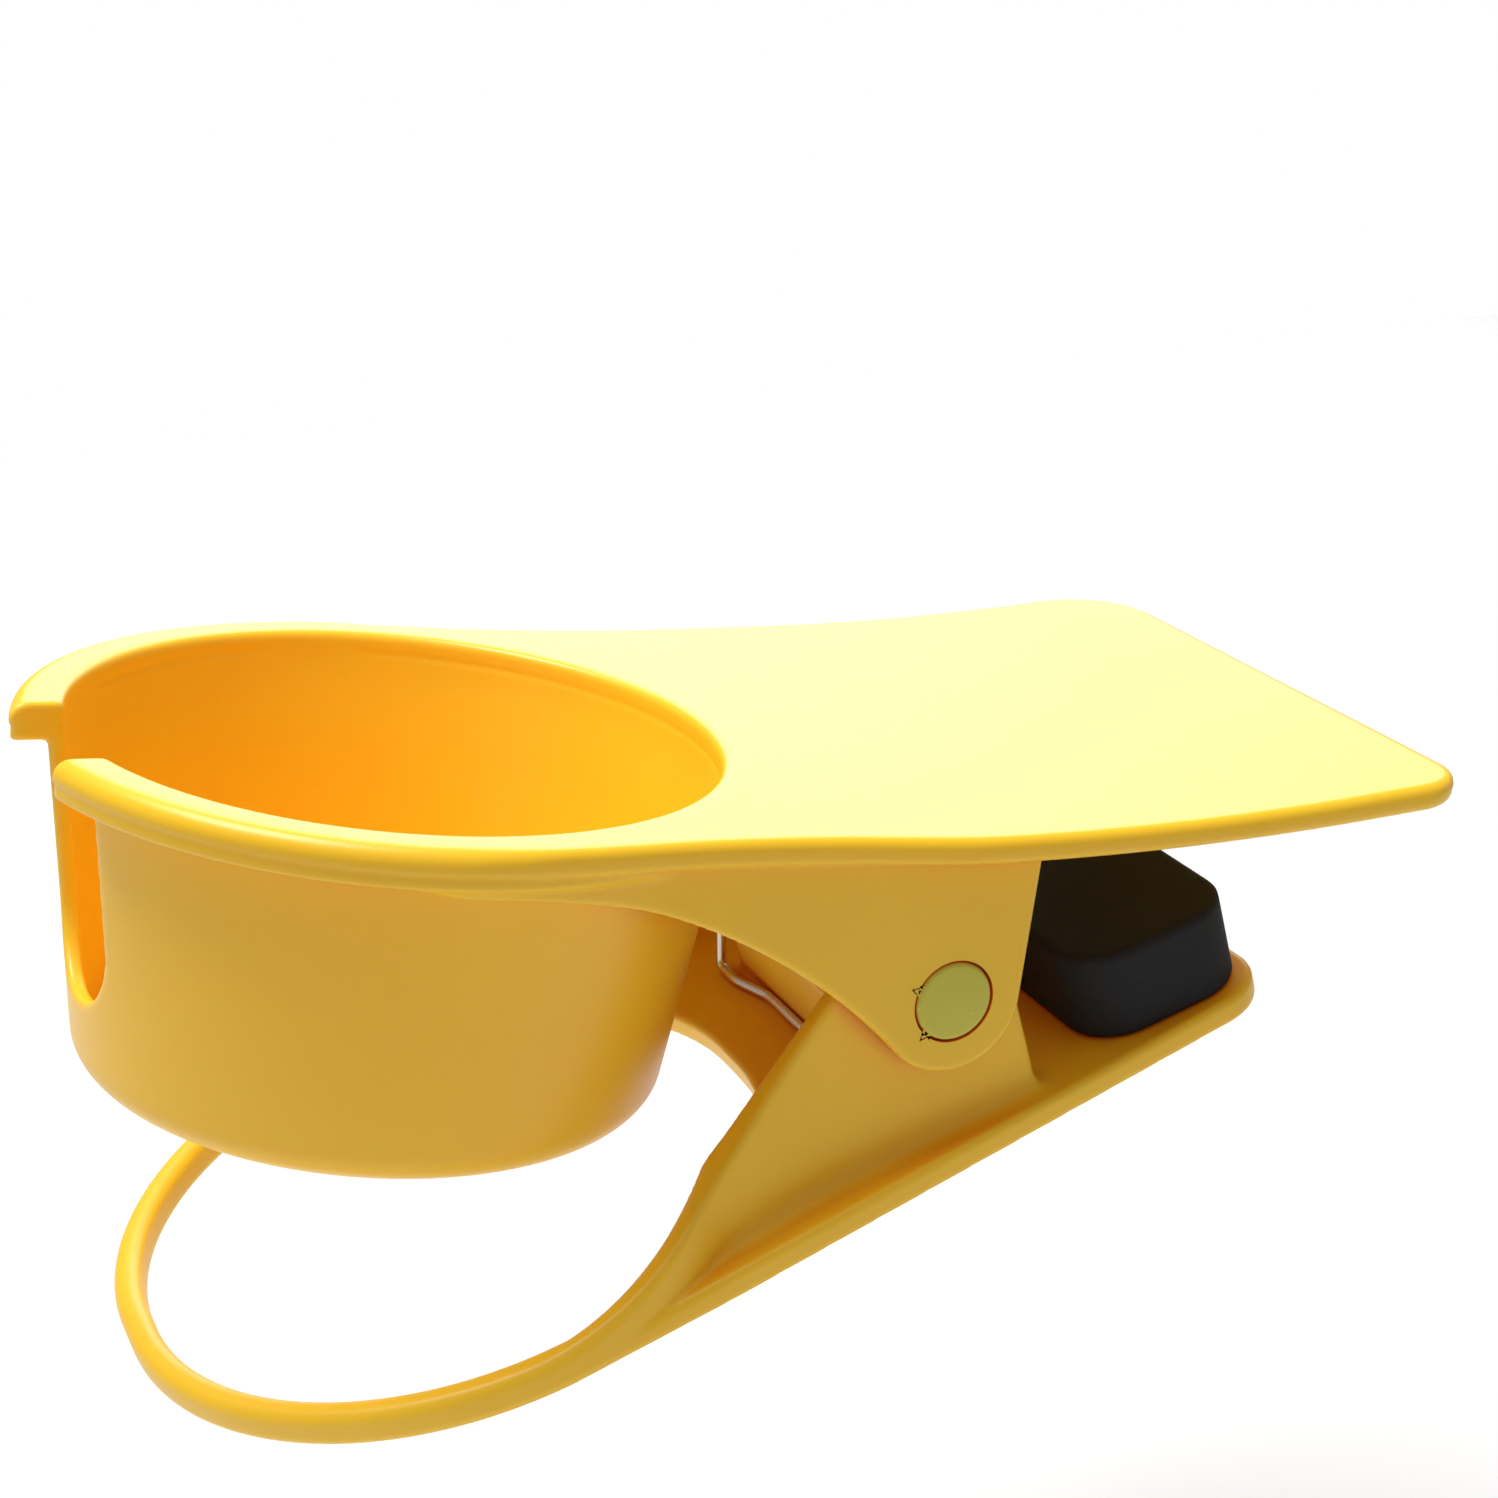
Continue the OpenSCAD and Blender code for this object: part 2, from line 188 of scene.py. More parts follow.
def rounded(r, *fields):
    """The intersection of several fields, with outer edges of radius r."""
    shifted = [f + r for f in fields]
    outside = np.sqrt(sum(np.maximum(f, 0.0) ** 2 for f in shifted))
    inside = shifted[0]
    for f in shifted[1:]:
        inside = np.maximum(inside, f)
    return outside + np.minimum(inside, 0.0) - r


def steps(*stops):
    """Grid lines through the given (position, step after it) pairs, up to the last position."""
    lines = []
    for (a, step), (b, _) in zip(stops, stops[1:]):
        n = max(1, round((b - a) / step))
        lines.extend(a + (b - a) * i / n for i in range(n))
    return np.array(lines + [stops[-1][0]])


def net(field, xs, ys, zs):
    """Surface nets: the corners and the four-sided faces of the field's zero surface."""
    axes = (xs, ys, zs)
    values = np.stack([field(x, ys[:, None], zs[None, :]) for x in xs]).astype(np.float32)
    inside = values < 0.0
    cells = tuple(len(a) - 1 for a in axes)
    total = np.zeros(cells + (3,), np.float32)
    count = np.zeros(cells, np.float32)
    for axis in range(3):
        others = [a for a in range(3) if a != axis]
        for offset in ((0, 0), (0, 1), (1, 0), (1, 1)):
            first = [slice(0, n) for n in cells]
            for other, o in zip(others, offset):
                first[other] = slice(o, cells[other] + o)
            second = list(first)
            second[axis] = slice(1, cells[axis] + 1)
            va, vb = values[tuple(first)], values[tuple(second)]
            crossing = inside[tuple(first)] != inside[tuple(second)]
            share = np.where(crossing, va / np.where(crossing, va - vb, 1.0), 0.0)
            total[..., axis] += share
            for other, o in zip(others, offset):
                total[..., other] += crossing * float(o)
            count += crossing
    used = count > 0
    index = np.full(cells, -1, np.int64)
    index[used] = np.arange(used.sum())
    place = np.argwhere(used)
    share = total[used] / count[used][:, None]
    points = np.empty((len(place), 3))
    for axis, lines in enumerate(axes):
        low = lines[place[:, axis]]
        points[:, axis] = low + share[:, axis] * (lines[place[:, axis] + 1] - low)
    faces = []
    for axis in range(3):
        b, c = (axis + 1) % 3, (axis + 2) % 3
        here = [slice(1, n) for n in cells]
        here[axis] = slice(0, cells[axis])
        there = list(here)
        there[axis] = slice(1, cells[axis] + 1)
        s0, s1 = inside[tuple(here)], inside[tuple(there)]
        at = np.argwhere(s0 != s1)
        at[:, b] += 1
        at[:, c] += 1
        out = s0[s0 != s1]
        corners = []
        for ob, oc in ((-1, -1), (0, -1), (0, 0), (-1, 0)):
            cell = at.copy()
            cell[:, b] += ob
            cell[:, c] += oc
            corners.append(index[tuple(cell.T)])
        quad = np.stack(corners, axis=1)
        quad[~out] = quad[~out][:, ::-1]
        faces.append(quad)
    return points, np.concatenate(faces)


def onto(field, points, limit, rounds=4):
    """Moves points onto the field's zero surface along its gradient."""
    e = 0.02
    for _ in range(rounds):
        x, y, z = points.T
        value = field(x, y, z)
        slope = np.stack([
            field(x + e, y, z) - field(x - e, y, z),
            field(x, y + e, z) - field(x, y - e, z),
            field(x, y, z + e) - field(x, y, z - e),
        ], axis=1) / (2 * e)
        size = np.maximum((slope ** 2).sum(axis=1), 0.05)
        move = -value[:, None] * slope / size[:, None]
        far = np.maximum(np.linalg.norm(move, axis=1) / limit, 1.0)
        points = points + move / far[:, None]
    return points


def relaxed(points, faces):
    """Each point half way to the mean of its neighbours, which evens out the faces."""
    ends = np.concatenate([faces[:, [i, (i + 1) % 4]] for i in range(4)])
    total = np.zeros_like(points)
    for axis in range(3):
        total[:, axis] = np.bincount(ends[:, 0], points[ends[:, 1], axis], len(points))
        total[:, axis] += np.bincount(ends[:, 1], points[ends[:, 0], axis], len(points))
    count = np.bincount(ends.ravel(), minlength=len(points))
    return (points + total / count[:, None]) / 2


def moulded(name, field, lines, place, rounds=2):
    """The zero surface of a field as a smooth mesh object, in the row frame."""
    xs, ys, zs = lines
    limit = min(np.diff(a).min() for a in lines)
    points, faces = net(field, xs, ys, zs)
    points = onto(field, points, limit)
    for _ in range(rounds):
        points = onto(field, relaxed(points, faces), limit, 2)
    return mesh_object(name, points, faces, place)


def mesh_object(name, points, faces, place, sharp=80.0):
    mesh = bpy.data.meshes.new(name)
    mesh.from_pydata(np.asarray(points).tolist(), [], np.asarray(faces).tolist())
    mesh.transform(place)
    mesh.validate()
    finish_mesh(mesh, sharp)
    obj = bpy.data.objects.new(name, mesh)
    bpy.context.scene.collection.objects.link(obj)
    return obj


def finish_mesh(mesh, sharp):
    mesh.shade_smooth()
    mesh.set_sharp_from_angle(angle=math.radians(sharp))
    mesh.update()


# ---- holder body, in the well's frame ----
def plate_top(x, z):
    """Height above the plate's top face, which is flat, then bends up, then is flat again."""
    turn = BEND_LEN / BEND_R
    bend = BEND_R - np.hypot(x - BEND_START, z - BEND_R)
    angle = np.arctan2(x - BEND_START, BEND_R - z)
    end_x = BEND_START + BEND_R * math.sin(turn)
    end_z = BEND_R * (1 - math.cos(turn))
    end = (z - end_z) * math.cos(turn) - (x - end_x) * math.sin(turn)
    return np.where(x < BEND_START, z, np.where(angle > turn, end, bend))


def plate_outline(x, y):
    """The plate from above: the near side is a little wider and has a tighter corner."""
    near = rounded(NEAR_CORNER, x - PLATE_REACH, -y - PLATE_NEAR_W)
    far = rounded(FAR_CORNER, x - PLATE_REACH, y - PLATE_FAR_W)
    box = np.maximum(np.where(y < 0, near, far), -x)
    whole = smooth_min(np.hypot(x, y) - RIM_R, box, 0.6)
    waist_r = (WAIST_HALF_LEN ** 2 + WAIST_DEPTH ** 2) / (2 * WAIST_DEPTH)
    half_w = np.where(y < 0, PLATE_NEAR_W, PLATE_FAR_W)
    from_centre = np.hypot(x - WAIST_X, np.abs(y) - (half_w - WAIST_DEPTH + waist_r))
    return smooth_max(whole, waist_r - from_centre, 1.2)


def well_radius(z):
    taper = (WELL_TOP_R - WELL_BASE_R) / (WELL_DEPTH - RIM_H)
    return WELL_TOP_R + (z + RIM_H) * taper


def ear_field(x, y, z):
    sweep_z = -RIM_H - EAR_TOP_GAP - EAR_SWEEP_R
    reach = EAR_SWEEP_R + EAR_END_R
    sweep_x = PIVOT_X - math.sqrt(reach ** 2 - (-PIVOT_DROP - sweep_z) ** 2)
    meet_x = sweep_x + (PIVOT_X - sweep_x) * EAR_SWEEP_R / reach
    tail = (sweep_z + EAR_SWEEP_R) + EAR_TOP_GAP / EAR_TAIL * (sweep_x - x)
    sweep = EAR_SWEEP_R - np.hypot(x - sweep_x, z - sweep_z)
    lower = np.where(x < sweep_x, tail - z, sweep)
    end = np.hypot(x - PIVOT_X, np.minimum(z + PIVOT_DROP, 0.0)) - (EAR_FRONT - PIVOT_X)
    lower = np.where(x < meet_x, lower, end)
    outline = np.maximum(np.maximum(lower, sweep_x - EAR_TAIL - x), z + 1.5)
    outline = rounded(0.6, outline, x - EAR_FRONT)
    out = smooth_min(np.hypot(x, y) - SKIRT_R, np.abs(y) - EAR_OUTER, 2.0)
    out = np.where(x > 0, out, np.hypot(x, y) - SKIRT_R)
    return rounded(0.7, outline, out, EAR_OUTER - EAR_T - np.abs(y))


def holder_field(x, y, z):
    r = np.hypot(x, y)
    top = plate_top(x, z)
    outline = plate_outline(x, y)
    rim = r - RIM_R
    on_rim = np.clip((r - 40.0) / 6.0, 0.0, 1.0) * np.clip((4.0 - x) / 10.0, 0.0, 1.0)
    edge_r = PLATE_EDGE_R + (RIM_EDGE_R - PLATE_EDGE_R) * on_rim
    plate = np.maximum(rounded(edge_r, outline, top), rounded(PLATE_LOWER_R, outline, -top - PLATE_T))
    band = rounded(0.7, rim + BAND_INSET, -z - RIM_H)
    band = np.maximum(band, z + PLATE_T - 1.0)
    cone = (r - well_radius(z)) * 0.992
    shell = np.maximum(rounded(BASE_ROUND, cone, -z - WELL_DEPTH), z + PLATE_T - 1.0)
    body = smooth_min(np.minimum(plate, band), shell, 0.9)
    body = smooth_min(body, ear_field(x, y, z), 1.0)
    inner_r = well_radius(z) - WALL_T + INNER_FLARE * np.maximum(z - FLARE_START, 0.0)
    bore = (r - smooth_min(inner_r, MOUTH_R, 0.6)) * 0.992
    hollow = rounded(BASE_ROUND - WALL_T, bore, -z - WELL_DEPTH + WALL_T)
    mouth = smooth_max(body, -hollow, 1.4)
    along = -(x * math.cos(SLOT_TURN) + y * math.sin(SLOT_TURN))
    across = y * math.cos(SLOT_TURN) - x * math.sin(SLOT_TURN)
    low = np.minimum(z + SLOT_DEPTH - SLOT_W / 2, 0.0)
    slot = np.maximum(np.hypot(across, low) - SLOT_W / 2, -along)
    return smooth_max(mouth, -slot, 0.9)


def keyed_disc(r, key_reach, key_w, y0, y1, side):
    """A disc square to the pivot with two pointed keys, as a closed mesh in the pivot's frame."""
    bm = bmesh.new()
    parts = []
    turn = [2 * math.pi * i / 96 for i in range(96)]
    parts.append([(r * math.cos(a), r * math.sin(a)) for a in turn])
    for a in KEY_ANGLES:
        ca, sa = math.cos(math.radians(a)), math.sin(math.radians(a))
        wedge = ((r - 1.2, -key_w), (key_reach, -0.1), (key_reach, 0.1), (r - 1.2, key_w))
        parts.append([(u * ca - v * sa, u * sa + v * ca) for u, v in wedge])
    for outline in parts:
        rings = [[bm.verts.new((u, side * y, w)) for u, w in outline] for y in (y0, y1)]
        n = len(outline)
        for i in range(n):
            j = (i + 1) % n
            bm.faces.new((rings[0][i], rings[0][j], rings[1][j], rings[1][i]))
        bm.faces.new(rings[0][::-1])
        bm.faces.new(rings[1])
    bmesh.ops.recalc_face_normals(bm, faces=bm.faces)
    mesh = bpy.data.meshes.new("cutter")
    bm.to_mesh(mesh)
    bm.free()
    mesh.transform(PIVOT)
    obj = bpy.data.objects.new("cutter", mesh)
    bpy.context.scene.collection.objects.link(obj)
    return obj


def cut(obj, cutter):
    """Takes the cutter out of the object and removes the cutter."""
    modifier = obj.modifiers.new("cut", "BOOLEAN")
    modifier.operation = "DIFFERENCE"
    modifier.solver = "MANIFOLD"
    modifier.object = cutter
    bpy.context.view_layer.update()
    result = bpy.data.meshes.new_from_object(obj.evaluated_get(bpy.context.evaluated_depsgraph_get()))
    obj.modifiers.clear()
    obj.data = result
    bpy.data.objects.remove(cutter)
    finish_mesh(obj.data, 80.0)


def holder_body():
    lines = (
        steps((-50.4, 0.5), (-38.0, 0.9), (2.0, 0.65), (74.0, 0.9), (138.0, 0.9)),
        steps((-50.4, 0.6), (-38.0, 1.0), (-13.0, 0.5), (-8.0, 1.0), (8.0, 0.5), (13.0, 1.0),
              (38.0, 0.6), (50.4, 0.6)),
        steps((-49.2, 1.0), (-37.0, 0.65), (-6.6, 0.4), (0.6, 0.6), (16.2, 0.6)),
    )
    obj = moulded("holder_body_moulding", holder_field, lines, WELL)
    for side in (-1, 1):
        seat = keyed_disc(CAP_R + SEAT_GAP, CAP_R + SEAT_GAP + KEY_LEN, KEY_W,
                          EAR_OUTER - CAP_SEAT_DEPTH, EAR_OUTER + 1.0, side)
        cut(obj, seat)
    return obj


# ---- clamp lever, in its own frame ----
def ring_distance(x, y):
    return np.hypot(x - RING_X, np.maximum(np.abs(y) - RING_STRETCH, 0.0))


def jaw_outline(x, y):
    widest = RING_R + BAR_W + RING_STRETCH
    narrowing = (widest - JAW_HALF_W) / (JAW_X - RING_X)
    side = np.abs(y) - (widest - narrowing * (x - RING_X))
    side = side / math.hypot(1.0, narrowing)
    return rounded(JAW_CORNER, side, x - JAW_X)


def side_profile(x, z):
    lean = np.array([math.cos(SIDE_LEAN), math.sin(SIDE_LEAN)])
    top = np.array([-SIDE_TOP_GAP * lean[1], PIVOT_H + SIDE_TOP_GAP * lean[0]])

    def segment(ax, az, bx, bz):
        dx, dz = bx - ax, bz - az
        t = np.clip(((x - ax) * dx + (z - az) * dz) / (dx * dx + dz * dz), 0.0, 1.0)
        return np.hypot(x - ax - t * dx, z - az - t * dz)

    spine = np.minimum(segment(0.0, 0.0, 0.0, PIVOT_H), segment(0.0, PIVOT_H, top[0], top[1]))
    slope = (z - top[1]) * lean[0] - (x - top[0]) * lean[1] - SIDE_TOP_R
    along = (x - top[0]) * lean[0] + (z - top[1]) * lean[1]
    ramp = smooth_min(slope, z - BAR_H, RAMP_BLEND)
    behind = np.maximum(np.maximum(ramp, along), x - SIDE_FRONT + 1.0)
    return np.minimum(spine - SIDE_TOP_R, behind)


def lever_field(x, y, z):
    ring = ring_distance(x, y)
    middle = np.abs(ring - (RING_R + BAR_W / 2)) - BAR_W / 2
    bar = rounded(1.8, middle, np.abs(z - BAR_H / 2) - BAR_H / 2)
    bar = np.maximum(bar, x + 30.0)
    outline = np.where(x > RING_X, jaw_outline(x, y), ring - RING_R - BAR_W)
    soft = np.clip((-40.0 - x) / 22.0, 0.0, 1.0)
    edge = rounded(0.9 + 0.9 * soft, outline, z - WEB_T)
    web = np.maximum(edge, rounded(0.6 + 1.1 * soft, outline, -z))
    wall_out = smooth_max(SIDE_OUTER, SIDE_OUTER - (x - SPLAY_X) * SPLAY, 1.5)
    plan = np.where(x > SPLAY_END, np.abs(y) - wall_out, 9.0)
    plan = smooth_min(plan, ring - RING_R - BAR_W, 1.0)
    wall = rounded(0.8 + soft, side_profile(x, z), plan, SIDE_OUTER - SIDE_T - np.abs(y))
    wall = np.maximum(np.maximum(wall, 2.0 * soft - z), RAMP_END - x)
    rib = rounded(0.5, np.abs(x - RIB_X) - RIB_HALF_T, np.abs(y) - RIB_HALF_W, z - WEB_T - RIB_H,
                  1.0 - z)
    plate = np.maximum(web, RING_R - ring)
    side = np.maximum(wall, RING_R - ring)
    foot = np.clip((x + 43.0) / 9.0, 0.02, 1.0)
    body = smooth_min(plate, side, 2.6 * foot)
    body = smooth_min(body, rib, 1.0)
    body = smooth_max(body, RING_R - ring, 1.6 + 1.6 * soft)
    body = np.minimum(body, bar)
    bore = ROD_R + 0.05 - np.hypot(x, z - PIVOT_H)
    return smooth_max(body, bore, 0.2)


def clamp_lever():
    lines = (
        steps((-112.0, 0.8), (-60.0, 0.6), (12.0, 0.8), (49.4, 0.8)),
        steps((-51.1, 0.6), (-36.0, 0.9), (36.0, 0.6), (51.1, 0.6)),
        steps((-0.9, 0.5), (8.0, 0.6), (38.6, 0.6)),
    )
    return moulded("clamp_lever_moulding", lever_field, lines, LEVER)


# ---- small pieces ----
def pad_field(x, y, z):
    outline = rounded(PAD_CORNER, PAD_START - x, x - PAD_END, np.abs(y) - PAD_HALF_W)
    return rounded(1.0, outline, WEB_T - z, z - WEB_T - PAD_T)


def jaw_pad():
    lines = (
        steps((PAD_START - 1.0, 0.8), (PAD_END + 1.0, 0.8)),
        steps((-PAD_HALF_W - 1.0, 0.8), (PAD_HALF_W + 1.0, 0.8)),
        steps((WEB_T - 1.0, 0.7), (WEB_T + PAD_T + 1.0, 0.7)),
    )
    return moulded("jaw_pad_rubber", pad_field, lines, LEVER)


def cap_field(side):
    def field(x, y, z):
        out = side * y
        r = np.hypot(x, z)
        dome = out - CAP_FACE + 0.018 * r * r / 2
        head = rounded(0.6, r - CAP_R + 0.08, dome, EAR_OUTER - CAP_SEAT_DEPTH + 0.05 - out)
        stem = np.maximum(r - STEM_R, np.maximum(EAR_OUTER - EAR_T - out, out - ROD_HALF))
        body = np.minimum(head, stem)
        for a in KEY_ANGLES:
            ca, sa = math.cos(math.radians(a)), math.sin(math.radians(a))
            u, v = x * ca + z * sa, z * ca - x * sa
            taper = np.abs(v) - KEY_W / 2 * np.clip((CAP_R + KEY_LEN - u) / KEY_LEN, 0.0, 1.0)
            key = rounded(0.12, taper, 4.0 - u, out - EAR_OUTER,
                          EAR_OUTER - CAP_SEAT_DEPTH + 0.05 - out)
            body = np.minimum(body, key)
        rod = np.maximum(r - ROD_R - 0.02, out - ROD_HALF - 0.1)
        return np.maximum(body, -rod)
    return field


def pin_cap(name, side):
    reach = CAP_R + KEY_LEN + 0.4
    depth = (40.6, 45.2) if side > 0 else (-45.2, -40.6)
    lines = (
        steps((-reach, 0.2), (reach, 0.2)),
        steps((depth[0], 0.2), (depth[1], 0.2)),
        steps((-reach, 0.2), (reach, 0.2)),
    )
    return moulded(name, cap_field(side), lines, PIVOT, 1)


def rod_field(x, y, z):
    return rounded(0.35, np.hypot(x, z) - ROD_R, np.abs(y) - ROD_HALF)


def pivot_rod():
    lines = (
        steps((-2.8, 0.4), (2.8, 0.4)),
        steps((-44.1, 0.6), (44.1, 0.6)),
        steps((-2.8, 0.4), (2.8, 0.4)),
    )
    return moulded("pivot_rod_steel", rod_field, lines, PIVOT)


# ---- torsion spring, in the pivot's frame ----
def turned(x, z, angle):
    return (x * math.cos(angle) - z * math.sin(angle), x * math.sin(angle) + z * math.cos(angle))


def corner(before, at, after, r, n=6):
    """A bend of a wire as a short parabola."""
    p = at + r * (before - at) / np.linalg.norm(before - at)
    q = at + r * (after - at) / np.linalg.norm(after - at)
    return [(1 - t) ** 2 * p + 2 * t * (1 - t) * at + t * t * q for t in np.linspace(0, 1, n + 1)]


def half_spring(side):
    """The wire's centre line from the middle of the crossbar to the end of one leg."""
    low = WEB_T + WIRE_R + WIRE_GAP - PIVOT_H
    bar = turned(-7.1 - WIRE_R - WIRE_GAP, low, LEVER_SLOPE)
    back = turned(-9.0 - WIRE_R - WIRE_GAP, low, LEVER_SLOPE)
    tip = np.array([LEG_X, PIVOT_DROP - PLATE_T - WIRE_R - 0.1])
    a0 = math.atan2(back[1], back[0]) - math.acos(COIL_R / math.hypot(*back)) + 2 * math.pi
    a1 = math.atan2(tip[1], tip[0]) + math.acos(COIL_R / math.hypot(*tip))
    sweep = 2 * math.pi * COIL_TURNS + a0 - a1
    pitch = 2 * WIRE_R + COIL_GAP
    end_y = COIL_START_Y + pitch * sweep / (2 * math.pi)
    coil = []
    for i in range(COIL_TURNS * 40 + 1):
        t = i / (COIL_TURNS * 40)
        a = a0 - sweep * t
        coil.append(np.array([COIL_R * math.cos(a), side * (COIL_START_Y + (end_y - COIL_START_Y) * t),
                              COIL_R * math.sin(a)]))
    start = np.array([bar[0], 0.0, bar[1]])
    step_in = np.array([bar[0], side * 8.0, bar[1]])
    step_out = np.array([back[0], side * 16.0, back[1]])
    rise = np.array([back[0], side * 21.5, back[1]])
    path = [start]
    path += corner(start, step_in, step_out, WIRE_BEND)
    path += corner(step_in, step_out, rise, WIRE_BEND)
    path += corner(step_out, rise, coil[0], WIRE_BEND)
    path += coil
    path.append(np.array([tip[0], side * end_y, tip[1]]))
    return path, end_y


def tube(name, path, r, sides, place):
    """A wire swept along a path with a frame that doesn't twist, closed at both ends."""
    path = np.array(path)
    ahead = np.gradient(path, axis=0)
    ahead /= np.linalg.norm(ahead, axis=1)[:, None]
    normal = np.array([0.3, 0.2, 1.0])
    points = []
    angle = np.linspace(0, 2 * math.pi, sides, endpoint=False)[:, None]
    for p, t in zip(path, ahead):
        normal = normal - (normal @ t) * t
        normal /= np.linalg.norm(normal)
        points.append(p + r * (np.cos(angle) * normal + np.sin(angle) * np.cross(t, normal)))
    points = np.concatenate(points)
    n = len(path)
    faces = []
    for i in range(n - 1):
        for k in range(sides):
            j = (k + 1) % sides
            faces.append([i * sides + k, i * sides + j, (i + 1) * sides + j, (i + 1) * sides + k])
    faces.append(list(range(sides))[::-1])
    faces.append([(n - 1) * sides + k for k in range(sides)])
    mesh = bpy.data.meshes.new(name)
    mesh.from_pydata(points.tolist(), [], faces)
    mesh.transform(place)
    finish_mesh(mesh, 50.0)
    obj = bpy.data.objects.new(name, mesh)
    bpy.context.scene.collection.objects.link(obj)
    return obj


# ---- materials ----
def material(name):
    m = bpy.data.materials.new(name)
    m.use_nodes = True
    return m, m.node_tree.nodes, m.node_tree.links, m.node_tree.nodes["Principled BSDF"]


def node(nodes, kind, **values):
    n = nodes.new(kind)
    for key, value in values.items():
        if key in n.inputs:
            n.inputs[key].default_value = value
        else:
            setattr(n, key, value)
    return n


def plastic(name, colour, deep, rough=0.34):
    """Satin plastic: slow colour drift, faint grain, paler edges, and painted shade: deep orange mixed
    in where an ambient-occlusion node finds crevices and hollows.
    """
    m, nodes, links, shader = material(name)
    place = node(nodes, "ShaderNodeTexCoord")
    drift = node(nodes, "ShaderNodeTexNoise", Scale=28.0, Detail=3.0, Roughness=0.5)
    links.new(place.outputs["Object"], drift.inputs["Vector"])
    mix = node(nodes, "ShaderNodeMix", data_type="RGBA")
    mix.inputs["A"].default_value = (*deep, 1)
    mix.inputs["B"].default_value = (*colour, 1)
    spread = node(nodes, "ShaderNodeMapRange")
    spread.inputs["From Min"].default_value = 0.3
    spread.inputs["From Max"].default_value = 0.7
    links.new(drift.outputs["Fac"], spread.inputs["Value"])
    links.new(spread.outputs["Result"], mix.inputs["Factor"])
    worn = node(nodes, "ShaderNodeMix", data_type="RGBA")
    geometry = node(nodes, "ShaderNodeNewGeometry")
    edge = node(nodes, "ShaderNodeMapRange")
    edge.inputs["From Min"].default_value = 0.53
    edge.inputs["From Max"].default_value = 0.62
    edge.inputs["To Max"].default_value = 0.25
    links.new(geometry.outputs["Pointiness"], edge.inputs["Value"])
    links.new(edge.outputs["Result"], worn.inputs["Factor"])
    links.new(mix.outputs["Result"], worn.inputs["A"])
    worn.inputs["B"].default_value = (1.0, 0.80, 0.25, 1)
    # Painted shade: ambient occlusion marks the crevices, hollows and gaps between parts, where shade
    # and bounced orange light fall.
    painted_shade_ao = node(nodes, "ShaderNodeAmbientOcclusion", samples=8)
    painted_shade_ao.inputs["Distance"].default_value = 0.016
    depth = node(nodes, "ShaderNodeMapRange")
    depth.inputs["From Min"].default_value = 0.30
    depth.inputs["From Max"].default_value = 0.75
    links.new(painted_shade_ao.outputs["AO"], depth.inputs["Value"])
    # The painted shade colour, a deep orange, is laid over the plastic's own colour where the
    # occlusion is strong.
    shade = node(nodes, "ShaderNodeMix", data_type="RGBA")
    links.new(depth.outputs["Result"], shade.inputs["Factor"])
    shade.inputs["A"].default_value = (0.80, 0.17, 0.002, 1)
    links.new(worn.outputs["Result"], shade.inputs["B"])
    links.new(shade.outputs["Result"], shader.inputs["Base Color"])
    fine = node(nodes, "ShaderNodeTexNoise", Scale=900.0, Detail=4.0, Roughness=0.6)
    links.new(place.outputs["Object"], fine.inputs["Vector"])
    gloss = node(nodes, "ShaderNodeMapRange")
    gloss.inputs["To Min"].default_value = rough - 0.05
    gloss.inputs["To Max"].default_value = rough + 0.07
    links.new(fine.outputs["Fac"], gloss.inputs["Value"])
    links.new(gloss.outputs["Result"], shader.inputs["Roughness"])
    bump = node(nodes, "ShaderNodeBump", Strength=0.10, Distance=0.00004)
    links.new(fine.outputs["Fac"], bump.inputs["Height"])
    links.new(bump.outputs["Normal"], shader.inputs["Normal"])
    shader.inputs["IOR"].default_value = 1.46
    shader.inputs["Subsurface Weight"].default_value = 0.18
    shader.inputs["Subsurface Radius"].default_value = (1.0, 0.35, 0.05)
    shader.inputs["Subsurface Scale"].default_value = 0.004
    return m


def steel(name, colour, rough, along_scale):
    m, nodes, links, shader = material(name)
    place = node(nodes, "ShaderNodeTexCoord")
    stretch = node(nodes, "ShaderNodeMapping")
    stretch.inputs["Scale"].default_value = along_scale
    lines = node(nodes, "ShaderNodeTexNoise", Scale=600.0, Detail=3.0)
    links.new(place.outputs["Object"], stretch.inputs["Vector"])
    links.new(stretch.outputs["Vector"], lines.inputs["Vector"])
    gloss = node(nodes, "ShaderNodeMapRange")
    gloss.inputs["To Min"].default_value = rough - 0.08
    gloss.inputs["To Max"].default_value = rough + 0.10
    links.new(lines.outputs["Fac"], gloss.inputs["Value"])
    links.new(gloss.outputs["Result"], shader.inputs["Roughness"])
    bump = node(nodes, "ShaderNodeBump", Strength=0.15, Distance=0.00003)
    links.new(lines.outputs["Fac"], bump.inputs["Height"])
    links.new(bump.outputs["Normal"], shader.inputs["Normal"])
    shader.inputs["Base Color"].default_value = (*colour, 1)
    shader.inputs["Metallic"].default_value = 1.0
    return m


